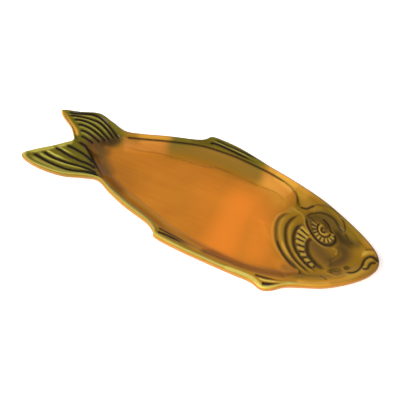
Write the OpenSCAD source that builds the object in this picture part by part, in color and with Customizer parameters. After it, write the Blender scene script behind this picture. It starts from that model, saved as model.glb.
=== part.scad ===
// Fish shaped serving platter in glazed earthenware.
// X runs from the tail to the snout, +Y is the back of the fish, Z is up.
// The origin is the middle of the plan at the table, and all lengths are in mm.

/* [Platter] */
// Length from the snout to the tail tips
platter_l = 500; // [380:5:640]
// Width from the back fin to the belly fin
platter_w = 192; // [150:2:240]
// Depth of the well floor below the crest of the lip, beside the wall
well_depth = 14; // [10:0.5:18]
// Extra hollow of the floor along the middle of the well
floor_dip = 1; // [0.5:0.25:2]
// Thickness of the clay under the middle of the well
floor_t = 6.5; // [5:0.5:10]
// Thickness of the clay under the rim and the tail
rim_t = 6.5; // [5:0.5:8]

/* [Lip] */
// Thickness of the rounded lip
lip_t = 7; // [5:0.5:8]
// Width of the rounded lip in plan
lip_w = 6.5; // [4:0.5:7]
// Drop from the crest of the lip to the groove inside the rim
rim_drop = 3.4; // [1.5:0.2:5]
// Drop from the crest of the lip to the flat of the rim beside it
lip_drop = 1.6; // [0.5:0.1:1.8]

/* [Well] */
// Width of the sloping wall in plan
wall_run = 18; // [10:1:22]
// Drop from the crest of the lip to the edge of the well at the tail
tail_drop = 4.6; // [2:0.2:6]
// Drop from the crest of the lip to the edge of the well at the gills
gill_drop = 12.4; // [8:0.2:15]

/* [Head] */
// Drop from the crest of the lip to the cheek
cheek_drop = 8.8; // [5:0.2:11]
// Width of the slope from the rim down to the cheek
cheek_run = 26; // [15:1:35]
// Height of the gill folds and the gill rakers
gill_relief = 1.3; // [0.5:0.1:2]
// Height of the eye above the cheek
eye_relief = 2.4; // [1:0.2:4]
// Radius of the eye with its ring of ribs
eye_r = 15; // [10:1:18]

/* [Tail] */
// Height of the tail rays, from the middle to the ridge
ray_relief = 0.7; // [0.3:0.1:1.2]

/* [Foot] */
// Height of the foot ring
foot_h = 6; // [5:0.5:10]
// Width of the foot ring in plan
foot_w = 6.5; // [4:0.5:7]

/* [Glaze] */
// Thickness of the fired glaze
glaze_t = 0.5; // [0.3:0.1:0.8]

/* [Smoothness] */
// Steps of the mesh from one station of the outline to the next
station_steps = 3; // [2:1:3]

/* [Hidden] */

// Every contour below has the same stations, from the snout to the notch of the tail.
// Points are shares of half the platter's length and of half its width.

// Outer edge along the back, then around the upper tail lobe
back_edge_shares = [
    [1, 0], [0.985, 0.125], [0.945, 0.235], [0.87, 0.36], [0.76, 0.5], [0.64, 0.63],
    [0.545, 0.71], [0.45, 0.77], [0.36, 0.82], [0.255, 0.87], [0.16, 0.925], [0.05, 0.98],
    [-0.05, 1], [-0.12, 0.99], [-0.15, 0.9], [-0.2, 0.835], [-0.335, 0.725],
    [-0.47, 0.595], [-0.57, 0.525], [-0.665, 0.59], [-0.76, 0.645], [-0.865, 0.545],
    [-0.95, 0.475], [-0.96, 0.43], [-0.93, 0.355], [-0.86, 0.245], [-0.82, 0.14],
    [-0.8, 0.05]
];
// Outer edge along the belly, then around the lower tail lobe
belly_edge_shares = [
    [1, 0], [0.99, -0.115], [0.96, -0.25], [0.895, -0.425], [0.8, -0.61], [0.695, -0.735],
    [0.62, -0.83], [0.57, -0.945], [0.52, -1], [0.45, -0.955], [0.345, -0.955],
    [0.2, -0.95], [0.055, -0.94], [-0.095, -0.905], [-0.13, -0.825], [-0.185, -0.74],
    [-0.33, -0.64], [-0.45, -0.53], [-0.545, -0.435], [-0.625, -0.475], [-0.73, -0.56],
    [-0.855, -0.595], [-0.96, -0.565], [-1, -0.49], [-0.96, -0.36], [-0.88, -0.175],
    [-0.83, -0.045], [-0.8, 0.05]
];
// Groove at the inner edge of the rim, along the back
back_rim_shares = [
    [0.965, 0.005], [0.955, 0.09], [0.92, 0.17], [0.85, 0.285], [0.745, 0.42],
    [0.63, 0.545], [0.53, 0.62], [0.43, 0.685], [0.345, 0.735], [0.25, 0.78],
    [0.15, 0.805], [0.045, 0.82], [-0.05, 0.81], [-0.12, 0.795], [-0.16, 0.775],
    [-0.21, 0.74], [-0.335, 0.635], [-0.47, 0.505], [-0.57, 0.43], [-0.665, 0.485],
    [-0.75, 0.54], [-0.84, 0.475], [-0.9, 0.42], [-0.91, 0.4], [-0.89, 0.34],
    [-0.825, 0.205], [-0.785, 0.12], [-0.77, 0.05]
];
// Groove at the inner edge of the rim, along the belly
belly_rim_shares = [
    [0.965, 0.005], [0.955, -0.085], [0.925, -0.21], [0.865, -0.37], [0.775, -0.52],
    [0.68, -0.63], [0.6, -0.7], [0.545, -0.74], [0.495, -0.77], [0.43, -0.795],
    [0.335, -0.81], [0.195, -0.81], [0.05, -0.79], [-0.09, -0.73], [-0.13, -0.695],
    [-0.185, -0.65], [-0.32, -0.545], [-0.435, -0.45], [-0.53, -0.36], [-0.63, -0.39],
    [-0.73, -0.475], [-0.84, -0.5], [-0.92, -0.49], [-0.95, -0.44], [-0.915, -0.345],
    [-0.85, -0.17], [-0.8, -0.05], [-0.77, 0.05]
];
// Edge of the well where the tail begins, from the rim to the middle
back_tail_shares = [
    [-0.585, 0.395], [-0.6, 0.37], [-0.615, 0.34], [-0.63, 0.3], [-0.65, 0.265],
    [-0.665, 0.225], [-0.69, 0.175], [-0.71, 0.125], [-0.725, 0.06]
];
belly_tail_shares = [
    [-0.545, -0.325], [-0.565, -0.28], [-0.585, -0.235], [-0.605, -0.195], [-0.625, -0.15],
    [-0.65, -0.1], [-0.68, -0.04], [-0.71, 0.01], [-0.725, 0.06]
];
// Edge of the well along the gill, from the middle to the rim
back_gill_shares = [
    [0.43, 0.015], [0.42, 0.115], [0.422, 0.205], [0.433, 0.29], [0.446, 0.36],
    [0.46, 0.435], [0.46, 0.53]
];
belly_gill_shares = [
    [0.43, 0.015], [0.452, -0.115], [0.49, -0.24], [0.538, -0.337], [0.592, -0.427],
    [0.65, -0.54]
];
// Places of the stations along the middle line of the well
spine_shares = [0.345, 0.33, 0.315, 0.3, 0.28, 0.26, 0.24, 0.215, 0.19, 0.15, 0.11, 0.05,
    -0.02, -0.09, -0.13, -0.175, -0.29, -0.39, -0.47, -0.52, -0.55, -0.575, -0.595, -0.61,
    -0.62, -0.63, -0.645, -0.655];
// Sideways place of the middle line at the head and at the tail
spine_head_share = 0.025;
spine_tail_share = 0.057;
// Middle of the eye
eye_share = [0.655, 0.23];

// Rings of the lip, as shares of its width and of its thickness, from the edge to the flat
lip_ring_shares = [0, 0.14, 0.45];
lip_height_shares = [-0.5, -0.16, 0];
// Rings under the lip
under_ring_shares = [0.14, 0.5];
under_height_shares = [-0.84, -1];
// Rings of the wall, as shares of its width, and the rings of the floor inside it
wall_ring_shares = [0.33, 0.66, 1];
floor_ring_shares = [0.5, 1];
// Most of the way to the middle line that the wall may take
wall_most_share = 0.72;
// Rings of the head, as shares of the way from the rim to the gill line
head_ring_shares = [0.11, 0.21, 0.3, 0.38, 0.46, 0.54, 0.62, 0.68, 0.74, 0.8, 0.85, 0.9, 0.95];
// Height of the head's relief on those rings, as shares of the gill folds' height
head_relief_shares = [0, 0, 0, 0, 0, 0.3, -0.5, 0.8, 0.8, -0.7, 1, -0.7, 1];
// The last share of the head in which the cheek falls to the gill line
gill_fall_share = 0.25;
// Rings of the tail, as shares of the way from the rim to the edge of the well
tail_ring_shares = [0.12, 0.3, 0.5, 0.7, 0.88];
// Rings under the tail
under_tail_shares = [0.35, 0.7];
// Sideways bow of the tail rays, as a share of their length
ray_bow_share = 0.08;
// Number of stations from the tail's root with straight rays, and until they bow fully
straight_ray_count = 2;
bowed_ray_count = 5;
// Number of tail rays on both lobes
ray_count = 11;
// Distance from the well's edge to the foot, as shares of the way to the middle line
foot_body_share = 0.24;
foot_tail_share = 0.1;
// Share of the stations before the tail at which the foot starts to change its place
narrow_share = 0.72;
// Number of stations of the gill line at the rim's height, and until it is at its full depth
shallow_gill_count = 1;
deep_gill_count = 4;

// Stations at which the tail, the foot's change of place and the gill line begin
station_count = len(back_edge_shares) - 1;
tail_station = station_count - len(back_tail_shares);
narrow_station = round(tail_station * narrow_share);
back_gill_station = len(back_gill_shares);
belly_gill_station = len(belly_gill_shares);

// Sizes that follow from the ones above
half_l = platter_l / 2 - glaze_t;
half_w = platter_w / 2 - glaze_t;
crest_z = foot_h + floor_t + floor_dip + well_depth;
step_count = 2 * station_count * station_steps;
tail_start = tail_station * station_steps;
tail_end = step_count - tail_start;
tail_steps = tail_end - tail_start;
head_start = -belly_gill_station * station_steps;
head_end = back_gill_station * station_steps;

// Placing points and joining curves
function placed(shares) = [for (p = shares) [p.x * half_l, p.y * half_w]];
function backwards(list) = [for (i = [len(list) - 1 : -1 : 0]) list[i]];
function without_first(list) = [for (i = [1 : 1 : len(list) - 1]) list[i]];
function without_ends(list) = [for (i = [1 : 1 : len(list) - 2]) list[i]];
function closed_loop(back, belly) = concat(back, backwards(without_ends(belly)));
function mix(a, b, share) = a * (1 - share) + b * share;
function smooth(share) = let (s = max(0, min(1, share))) s * s * (3 - 2 * s);
function turned_index(i) = (i + step_count) % step_count;
function lifted(p, z) = [p.x, p.y, z];

// A smooth curve through its points: each stretch is a cubic whose slope at a point
// is half the way from the point before to the point after
function on_stretch(a, b, c, d, t) =
    (2 * b + (c - a) * t + (2 * a - 5 * b + 4 * c - d) * t * t
        + (3 * b - 3 * c + d - a) * t * t * t) / 2;
function closed_curve(points) = let (n = len(points)) [
    for (i = [0 : n - 1], s = [0 : station_steps - 1])
        on_stretch(points[(i + n - 1) % n], points[i], points[(i + 1) % n],
            points[(i + 2) % n], s / station_steps)
];
function open_curve(points) = let (
    n = len(points),
    all = concat([2 * points[0] - points[1]], points, [2 * points[n - 1] - points[n - 2]])
) concat([
    for (i = [0 : n - 2], s = [0 : station_steps - 1])
        on_stretch(all[i], all[i + 1], all[i + 2], all[i + 3], s / station_steps)
], [points[n - 1]]);

// The contours of the plan, each a list of step_count points that starts at the snout
back_rim = placed(back_rim_shares);
belly_rim = placed(belly_rim_shares);
raw_edge = closed_curve(closed_loop(placed(back_edge_shares), placed(belly_edge_shares)));
raw_rim = closed_curve(closed_loop(back_rim, belly_rim));
tail_line = open_curve(concat([back_rim[tail_station]], placed(back_tail_shares),
    without_first(backwards(placed(belly_tail_shares))), [belly_rim[tail_station]]));
gill_line = open_curve(concat([belly_rim[belly_gill_station]],
    backwards(placed(belly_gill_shares)), without_first(placed(back_gill_shares)),
    [back_rim[back_gill_station]]));
spine_line = let (
    head_x = spine_shares[0],
    tail_x = spine_shares[station_count],
    points = [for (x = spine_shares)
        [x, mix(spine_head_share, spine_tail_share, (head_x - x) / (head_x - tail_x))]],
    placed_points = placed(points),
    half = open_curve(placed_points)
) closed_loop(half, half);

// The middle of the outer edge's own corners is the origin of the plan
plan_middle = let (xs = [for (p = raw_edge) p.x], ys = [for (p = raw_edge) p.y])
    [(max(xs) + min(xs)) / 2, (max(ys) + min(ys)) / 2];
function centred(points) = [for (p = points) p - plan_middle];
edge = centred(raw_edge);
rim = centred(raw_rim);
spine = centred(spine_line);
// The bowl's edge is the rim's groove, except where the tail begins
bowl = [for (i = [0 : step_count - 1])
    i > tail_start && i < tail_end ? tail_line[i - tail_start] - plan_middle : rim[i]];
// The well's edge is the bowl's edge, except where the gill begins
well = [for (i = [0 : step_count - 1]) let (j = i > step_count / 2 ? i - step_count : i)
    j > head_start && j < head_end ? gill_line[j - head_start] - plan_middle : bowl[i]];
outward = [for (i = [0 : step_count - 1]) let (d = edge[i] - rim[i]) d / norm(d)];

// Heights of the upper face
function rim_z() = crest_z - rim_drop;
function gill_blend(i) = let (
    j = i > step_count / 2 ? i - step_count : i,
    from_end = min(j - head_start, head_end - j) / station_steps
) smooth((from_end - shallow_gill_count) / (deep_gill_count - shallow_gill_count));
function well_z(i) = i > tail_start && i < tail_end
    ? crest_z - mix(rim_drop, tail_drop, smooth(min(i - tail_start, tail_end - i) / station_steps))
    : crest_z - mix(rim_drop, gill_drop, gill_blend(i));
function floor_z(way) = crest_z - well_depth - floor_dip * way;

// The upper face, zone by zone, each as rings of points
function lip_ring(k) = [for (i = [0 : step_count - 1])
    lifted(edge[i] - outward[i] * lip_w * lip_ring_shares[k],
        crest_z + lip_t * lip_height_shares[k])];
flat_ring = [for (i = [0 : step_count - 1])
    lifted(edge[i] - outward[i] * lip_w, crest_z - lip_drop)];
rim_ring = [for (i = [0 : step_count - 1]) lifted(rim[i], rim_z())];
lip_rings = concat([for (k = [0 : len(lip_ring_shares) - 1]) lip_ring(k)], [flat_ring, rim_ring]);

function wall_share(i) = min(wall_run / norm(spine[i] - well[i]), wall_most_share);
function wall_ring(k) = let (way = wall_ring_shares[k]) [for (i = [0 : step_count - 1])
    lifted(mix(well[i], spine[i], wall_share(i) * way),
        mix(well_z(i), floor_z(0), 1 - (1 - way) * (1 - way)))];
function floor_ring(k) = let (way = floor_ring_shares[k]) [for (i = [0 : step_count - 1])
    lifted(mix(well[i], spine[i], mix(wall_share(i), 1, way)), floor_z(way))];
well_ring = [for (i = [0 : step_count - 1]) lifted(well[i], well_z(i))];
well_rings = concat([well_ring],
    [for (k = [0 : len(wall_ring_shares) - 1]) wall_ring(k)],
    [for (k = [0 : len(floor_ring_shares) - 1]) floor_ring(k)]);

// Points of a ray bow outward, most of all halfway along it, and not at all by the tail's root
function bow_blend(i) = let (from_root = min(i - tail_start, tail_end - i) / station_steps)
    smooth((from_root - straight_ray_count) / (bowed_ray_count - straight_ray_count));
function on_ray(i, way) = let (
    side = (rim[i].y - spine[step_count / 2].y) / half_w * 2,
    bow = bow_blend(i) * ray_bow_share * norm(rim[i] - bowl[i]) * side * 4 * way * (1 - way)
) mix(rim[i], bowl[i], way) + [0, bow];
function ray_z(i, way) = let (
    turn = (i - step_count / 2) / tail_steps * 360 * (ray_count + 1),
    fade = smooth(norm(rim[i] - bowl[i]) / cheek_run) * 4 * way * (1 - way)
) mix(rim_z(), well_z(i), way) + ray_relief * fade * cos(turn);
tail_rings = concat([[for (i = [tail_start : tail_end]) rim_ring[i]]],
    [for (way = tail_ring_shares) [for (i = [tail_start : tail_end])
        i == tail_start || i == tail_end ? rim_ring[i] : lifted(on_ray(i, way), ray_z(i, way))]],
    [[for (i = [tail_start : tail_end]) well_ring[i]]]);

// The cheek slopes down from the rim, falls to the gill line and carries folds and the eye
eye = placed([eye_share])[0] - plan_middle;
function eye_bulge(p) = let (far = norm([p.x - eye.x, p.y - eye.y]) / eye_r)
    far < 1 ? eye_relief * sqrt(1 - far * far) : 0;
function cheek_z(way, run) = crest_z
    - mix(rim_drop, cheek_drop, smooth(way * run / cheek_run));
function head_point(i, k) = let (
    way = head_ring_shares[k],
    p = mix(rim[i], well[i], way),
    run = norm(rim[i] - well[i]),
    base = mix(cheek_z(way, run), well_z(i), smooth((way - 1) / gill_fall_share + 1)),
    folds = gill_relief * head_relief_shares[k] * gill_blend(i)
) lifted(p, base + folds + eye_bulge(p));
head_rings = let (steps = [for (j = [head_start : head_end]) turned_index(j)]) concat(
    [[for (i = steps) rim_ring[i]]],
    [for (k = [0 : len(head_ring_shares) - 1]) [for (j = [head_start : head_end])
        j == head_start || j == head_end ? rim_ring[turned_index(j)]
            : head_point(turned_index(j), k)]],
    [[for (i = steps) well_ring[i]]]);

// The underside follows the upper face at the clay's thickness, down to the foot
base_z = foot_h;
function under_rim_z() = rim_z() - rim_t;
function under_bowl_z(i) = (i > tail_start && i < tail_end ? well_z(i) : rim_z()) - rim_t;
function foot_share(i) = let (k = min(i, step_count - i) / station_steps)
    mix(foot_body_share, foot_tail_share,
        smooth((k - narrow_station) / (tail_station - narrow_station)));
function foot_edge(i) = mix(bowl[i], spine[i], foot_share(i));
function foot_inner(i) = let (d = spine[i] - bowl[i]) foot_edge(i) + d / norm(d) * foot_w;
under_lip_rings = [for (k = [0 : len(under_ring_shares) - 1]) [for (i = [0 : step_count - 1])
    lifted(edge[i] - outward[i] * lip_w * under_ring_shares[k],
        crest_z + lip_t * under_height_shares[k])]];
under_rim_ring = [for (i = [0 : step_count - 1]) lifted(rim[i], under_rim_z())];
under_bowl_ring = [for (i = [0 : step_count - 1]) lifted(bowl[i], under_bowl_z(i))];
under_wall_ring = [for (i = [0 : step_count - 1])
    lifted(mix(bowl[i], foot_edge(i), 1 / 2), mix(under_bowl_z(i), base_z, 1 / 2))];
foot_edge_ring = [for (i = [0 : step_count - 1]) lifted(foot_edge(i), base_z)];
foot_inner_ring = [for (i = [0 : step_count - 1]) lifted(foot_inner(i), base_z)];
spine_ring = [for (i = [0 : step_count - 1]) lifted(spine[i], base_z)];
under_rings = concat([lip_rings[0]], under_lip_rings, [under_rim_ring]);
under_tail_rings = concat([[for (i = [tail_start : tail_end]) under_rim_ring[i]]],
    [for (way = under_tail_shares) [for (i = [tail_start : tail_end])
        i == tail_start || i == tail_end ? under_rim_ring[i]
            : lifted(on_ray(i, way), mix(under_rim_z(), under_bowl_z(i), way))]],
    [[for (i = [tail_start : tail_end]) under_bowl_ring[i]]]);
under_bowl_rings = [under_bowl_ring, under_wall_ring, foot_edge_ring];
foot_band_rings = [foot_edge_ring, foot_inner_ring];
recess_rings = [foot_inner_ring, spine_ring];

// Directions in which the glaze stands on the clay, ring by ring
function leaning(share_out) = [for (i = [0 : step_count - 1])
    let (d = [outward[i].x * share_out, outward[i].y * share_out, 1]) d / norm(d)];
function upward(count) = [for (i = [1 : count]) [0, 0, 1]];
edge_outward = [for (d = outward) [d.x, d.y, 0]];
function down(list) = [for (d = list) [d.x, d.y, -d.z]];
function slanting_down(i) = let (d = bowl[i] - spine[i], s = d / norm(d))
    [s.x, s.y, -1] / norm([s.x, s.y, -1]);
slant = [for (i = [0 : step_count - 1]) slanting_down(i)];
function coated(ring, ways) = [for (i = [0 : len(ring) - 1]) ring[i] + glaze_t * ways[i]];
function raised(rings) = [for (r = rings) coated(r, upward(len(r)))];
function lowered(rings) = [for (r = rings) coated(r, down(upward(len(r))))];

// Triangles between rings. Triangles with two like corners are left out, so a patch may
// come to a point, and a ring may fold flat onto the middle line.
function proper(points, faces) = [for (f = faces)
    if (points[f[0]] != points[f[1]] && points[f[1]] != points[f[2]] && points[f[2]] != points[f[0]]) f];
// A four-cornered gap between rings is split so that, in plan, neither half folds over the other.
function plan_turn(p, q, r) = (q.x - p.x) * (r.y - p.y) - (q.y - p.y) * (r.x - p.x);
function halves(points, a, b, c, d) =
    plan_turn(points[a], points[b], points[c]) * plan_turn(points[a], points[c], points[d]) < 0
        ? [[a, b, d], [b, c, d]] : [[a, b, c], [a, c, d]];
function ring_faces(points, ring_count, n, wraps, first, turned) = [
    for (r = [0 : 1 : ring_count - 2], i = [0 : wraps ? n - 1 : n - 2])
        let (
            a = first + r * n + i,
            b = first + r * n + (i + 1) % n,
            c = first + (r + 1) * n + (i + 1) % n,
            d = first + (r + 1) * n + i
        ) for (f = halves(points, a, b, c, d)) turned ? f : [f[0], f[2], f[1]]
];
function flat_list(rings) = [for (r = rings) each r];

// A solid between two faces, each made of zones: [rings, wraps, turned]
module sewn(zones) {
    counts = [for (z = zones) len(z[0]) * len(z[0][0])];
    firsts = [for (k = 0, sum = 0; k < len(zones); sum = sum + counts[k], k = k + 1) sum];
    points = [for (z = zones) each flat_list(z[0])];
    faces = [for (k = [0 : len(zones) - 1])
        each ring_faces(points, len(zones[k][0]), len(zones[k][0][0]), zones[k][1], firsts[k],
            zones[k][2])];
    polyhedron(points, proper(points, faces), convexity = 10);
}

// A coat of glaze: its inner face lies on the clay, and walls close it at its first and
// last ring, unless the last ring lies along the middle line
module coat(clay, glaze, wraps, is_below, has_last_wall = true) {
    last = len(clay) - 1;
    sewn(concat(
        [[glaze, wraps, is_below], [clay, wraps, !is_below]],
        [[[clay[0], glaze[0]], wraps, is_below]],
        has_last_wall ? [[[clay[last], glaze[last]], wraps, !is_below]] : []
    ));
}

// The cast and fired clay of the whole fish
module clay_body() {
    color([0.86, 0.78, 0.66])
        sewn([
            [lip_rings, true, false],
            [well_rings, true, false],
            [tail_rings, false, false],
            [head_rings, false, false],
            [under_rings, true, true],
            [under_tail_rings, false, true],
            [under_bowl_rings, true, true],
            [foot_band_rings, true, true],
            [recess_rings, true, true]
        ]);
}

// The bare ring of clay that the platter stands on
module foot_ring() {
    color([0.8, 0.7, 0.56])
        linear_extrude(foot_h)
            polygon(
                [for (i = [0 : 2 * step_count - 1])
                    i < step_count ? foot_edge(i) : foot_inner(i - step_count)],
                [[for (i = [0 : step_count - 1]) i],
                    [for (i = [0 : step_count - 1]) step_count + i]]
            );
}

// Amber glaze in the well
module well_glaze() {
    color([0.84, 0.5, 0.19])
        coat(well_rings, raised(well_rings), true, false, false);
}

// Green glaze on the rim, over the rounded lip to its outermost line
module rim_glaze() {
    ways = concat([edge_outward, leaning(1)],
        [for (k = [3 : len(lip_rings)]) upward(step_count)]);
    color([0.45, 0.42, 0.13])
        coat(lip_rings, [for (k = [0 : len(lip_rings) - 1]) coated(lip_rings[k], ways[k])],
            true, false);
}

// Green glaze on the rayed tail
module tail_glaze() {
    color([0.36, 0.35, 0.11])
        coat(tail_rings, raised(tail_rings), false, false);
}

// Brown glaze on the head
module head_glaze() {
    color([0.5, 0.38, 0.13])
        coat(head_rings, raised(head_rings), false, false);
}

// Brown amber glaze outside the foot, up to the outermost line of the lip
module underside_glaze() {
    lip_ways = concat([edge_outward], [down(leaning(1))],
        [for (k = [3 : len(under_rings)]) down(upward(step_count))]);
    lip_glaze = [for (k = [0 : len(under_rings) - 1]) coated(under_rings[k], lip_ways[k])];
    tail_glaze = lowered(under_tail_rings);
    bowl_ways = [down(upward(step_count)), slant, down(upward(step_count))];
    bowl_glaze = [for (k = [0 : 2]) coated(under_bowl_rings[k], bowl_ways[k])];
    color([0.62, 0.36, 0.1])
        sewn([
            [under_rings, true, false],
            [under_tail_rings, false, false],
            [under_bowl_rings, true, false],
            [lip_glaze, true, true],
            [tail_glaze, false, true],
            [bowl_glaze, true, true],
            [[under_rings[0], lip_glaze[0]], true, true],
            [[under_bowl_rings[2], bowl_glaze[2]], true, false]
        ]);
}

// Brown amber glaze in the recess inside the foot
module recess_glaze() {
    color([0.62, 0.36, 0.1])
        coat(recess_rings, lowered(recess_rings), true, true, false);
}

clay_body();
foot_ring();
well_glaze();
rim_glaze();
tail_glaze();
head_glaze();
underside_glaze();
recess_glaze();
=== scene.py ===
# Fish shaped serving platter in glazed earthenware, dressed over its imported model.
# All shapes are worked out in mm, with X from the tail to the snout and Z up.
import math

import bmesh
import bpy
import numpy as np
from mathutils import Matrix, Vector


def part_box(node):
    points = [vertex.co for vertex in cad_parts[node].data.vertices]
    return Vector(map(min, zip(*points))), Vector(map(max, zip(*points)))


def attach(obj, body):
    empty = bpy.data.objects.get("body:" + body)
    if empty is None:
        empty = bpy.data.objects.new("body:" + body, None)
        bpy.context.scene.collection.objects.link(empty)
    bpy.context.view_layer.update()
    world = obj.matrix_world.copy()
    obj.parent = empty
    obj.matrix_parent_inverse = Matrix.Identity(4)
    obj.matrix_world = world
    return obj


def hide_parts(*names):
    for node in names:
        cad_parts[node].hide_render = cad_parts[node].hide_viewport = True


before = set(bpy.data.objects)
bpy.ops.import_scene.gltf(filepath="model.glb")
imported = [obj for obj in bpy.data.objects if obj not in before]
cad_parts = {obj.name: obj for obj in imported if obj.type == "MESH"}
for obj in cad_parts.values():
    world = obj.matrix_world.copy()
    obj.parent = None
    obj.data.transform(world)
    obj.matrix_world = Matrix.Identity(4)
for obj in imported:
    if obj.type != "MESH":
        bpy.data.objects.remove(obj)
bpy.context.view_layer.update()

mm = 0.001


# The camera
# It stands on the belly side and looks down steeply, as the photograph's did. The relief was
# read in the photograph's own pixels, so the camera's rays also place it.
image_px = 400
focal_px = 1100
film_mm = 36
camera_azimuth = math.radians(26.5)
camera_elevation = math.radians(55)
camera_far = 1454
camera_aim = np.array([0.9, -7.1, 24.2])
to_camera = np.array([
    math.sin(camera_azimuth) * math.cos(camera_elevation),
    -math.cos(camera_azimuth) * math.cos(camera_elevation),
    math.sin(camera_elevation),
])
camera_right = np.array([math.cos(camera_azimuth), math.sin(camera_azimuth), 0])
camera_up = np.cross(to_camera, camera_right)
camera_place = camera_aim + camera_far * to_camera

camera_data = bpy.data.cameras.new("camera")
camera_data.sensor_width = film_mm
camera_data.lens = film_mm * focal_px / image_px
camera_data.clip_start = 0.05
camera_data.clip_end = 20
camera = bpy.data.objects.new("camera", camera_data)
camera.location = Vector(camera_place * mm)
camera.rotation_euler = Vector(-to_camera).to_track_quat("-Z", "Y").to_euler()
bpy.context.scene.collection.objects.link(camera)
bpy.context.scene.camera = camera


def seen_at(pixels, height):
    """Plan places of pixels (x, y) at heights z: from the camera's place C along the ray
    d = right (x - 200) + up (200 - y) - back 1100, that is C + d (z - C.z) / d.z."""
    x = pixels[:, :1] - image_px / 2
    y = image_px / 2 - pixels[:, 1:2]
    ray = x * camera_right + y * camera_up - focal_px * to_camera
    reach = (height - camera_place[2]) / ray[:, 2]
    return camera_place[:2] + ray[:, :2] * reach[:, None]


def pixels_of(places):
    """Where places are seen. For d from the camera's place and the depth -d.back, x is
    200 + 1100 d.right / depth and y is 200 - 1100 d.up / depth."""
    from_camera = places - camera_place
    scale = focal_px / -(from_camera @ to_camera)
    return np.column_stack([image_px / 2 + scale * (from_camera @ camera_right),
                            image_px / 2 - scale * (from_camera @ camera_up)])


# The clay body
# One piece of cream earthenware, pressed in a mould and fired before it was glazed. Nothing
# of it shows through the glaze, but every coat below follows its contours.

# Points given in shares of half the length and half the width. The edge and the rim run
# from the snout to the tail's notch on each side, and the spine has a place for each of their
# points. The tail's lines start at the rim, and the gill's in the middle.
edge_back_shares = [
    [1, 0], [0.985, 0.125], [0.945, 0.235], [0.87, 0.36], [0.76, 0.5], [0.64, 0.63],
    [0.545, 0.71], [0.45, 0.77], [0.36, 0.82], [0.255, 0.87], [0.16, 0.925], [0.05, 0.98],
    [-0.05, 1], [-0.12, 0.99], [-0.15, 0.9], [-0.2, 0.835], [-0.335, 0.725],
    [-0.47, 0.595], [-0.57, 0.525], [-0.665, 0.59], [-0.76, 0.645], [-0.865, 0.545],
    [-0.95, 0.475], [-0.96, 0.43], [-0.93, 0.355], [-0.86, 0.245], [-0.82, 0.14],
    [-0.8, 0.05],
]
edge_belly_shares = [
    [1, 0], [0.99, -0.115], [0.96, -0.25], [0.895, -0.425], [0.8, -0.61], [0.695, -0.735],
    [0.62, -0.83], [0.57, -0.945], [0.52, -1], [0.45, -0.955], [0.345, -0.955],
    [0.2, -0.95], [0.055, -0.94], [-0.095, -0.905], [-0.13, -0.825], [-0.185, -0.74],
    [-0.33, -0.64], [-0.45, -0.525], [-0.545, -0.412], [-0.625, -0.46], [-0.73, -0.56],
    [-0.855, -0.595], [-0.96, -0.565], [-1, -0.49], [-0.96, -0.36], [-0.88, -0.175],
    [-0.83, -0.045], [-0.8, 0.05],
]
rim_back_shares = [
    [0.965, 0.005], [0.955, 0.09], [0.92, 0.17], [0.85, 0.285], [0.745, 0.42],
    [0.63, 0.545], [0.53, 0.62], [0.43, 0.685], [0.345, 0.735], [0.25, 0.78],
    [0.15, 0.805], [0.045, 0.82], [-0.05, 0.81], [-0.12, 0.795], [-0.16, 0.775],
    [-0.21, 0.74], [-0.335, 0.635], [-0.47, 0.505], [-0.57, 0.43], [-0.665, 0.485],
    [-0.75, 0.54], [-0.84, 0.475], [-0.9, 0.42], [-0.91, 0.4], [-0.89, 0.34],
    [-0.825, 0.205], [-0.785, 0.12], [-0.77, 0.05],
]
rim_belly_shares = [
    [0.965, 0.005], [0.955, -0.085], [0.925, -0.21], [0.865, -0.37], [0.775, -0.52],
    [0.68, -0.63], [0.6, -0.7], [0.545, -0.74], [0.495, -0.77], [0.43, -0.795],
    [0.335, -0.81], [0.195, -0.81], [0.05, -0.79], [-0.09, -0.73], [-0.13, -0.695],
    [-0.185, -0.65], [-0.32, -0.545], [-0.435, -0.45], [-0.53, -0.36], [-0.63, -0.39],
    [-0.73, -0.475], [-0.84, -0.5], [-0.92, -0.49], [-0.95, -0.44], [-0.915, -0.345],
    [-0.85, -0.17], [-0.8, -0.05], [-0.77, 0.05],
]
tail_back_shares = [
    [-0.585, 0.395], [-0.6, 0.37], [-0.615, 0.34], [-0.63, 0.3], [-0.65, 0.265],
    [-0.665, 0.225], [-0.69, 0.175], [-0.71, 0.125], [-0.725, 0.06],
]
tail_belly_shares = [
    [-0.545, -0.325], [-0.565, -0.28], [-0.585, -0.235], [-0.605, -0.195], [-0.625, -0.15],
    [-0.65, -0.1], [-0.68, -0.04], [-0.71, 0.01], [-0.725, 0.06],
]
gill_back_shares = [
    [0.43, 0.015], [0.42, 0.115], [0.422, 0.205], [0.433, 0.29], [0.446, 0.36],
    [0.46, 0.435], [0.46, 0.53],
]
gill_belly_shares = [
    [0.43, 0.015], [0.452, -0.115], [0.49, -0.24], [0.538, -0.337], [0.592, -0.427],
    [0.65, -0.54],
]
spine_x_shares = [
    0.345, 0.33, 0.315, 0.3, 0.28, 0.26, 0.24, 0.215, 0.19, 0.15, 0.11, 0.05, -0.02, -0.09,
    -0.13, -0.175, -0.29, -0.39, -0.47, -0.52, -0.55, -0.575, -0.595, -0.61, -0.62, -0.63,
    -0.645, -0.655,
]
spine_head_share = 0.025
spine_tail_share = 0.057
steps = 30
corner_stations = 12
corner_end_station = 9
corner_fade_stations = 2.5
glaze_t = 0.5
lip_half_t = 4
crown_run = 2.9
rim_drop = 2.6
well_drop = 14
middle_dip = 1
wall_run = 18
wall_most_share = 0.72
wall_power = 1.35
tail_drop = 4.6
tail_bow_share = 0.08
cheek_drop = 8.8
cheek_run = 26
gill_drop = 12.4
under_t = 8.3
coat_t = 2.6
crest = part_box("rim_glaze")[1].z / mm
foot_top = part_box("foot_ring")[1].z / mm


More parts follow.
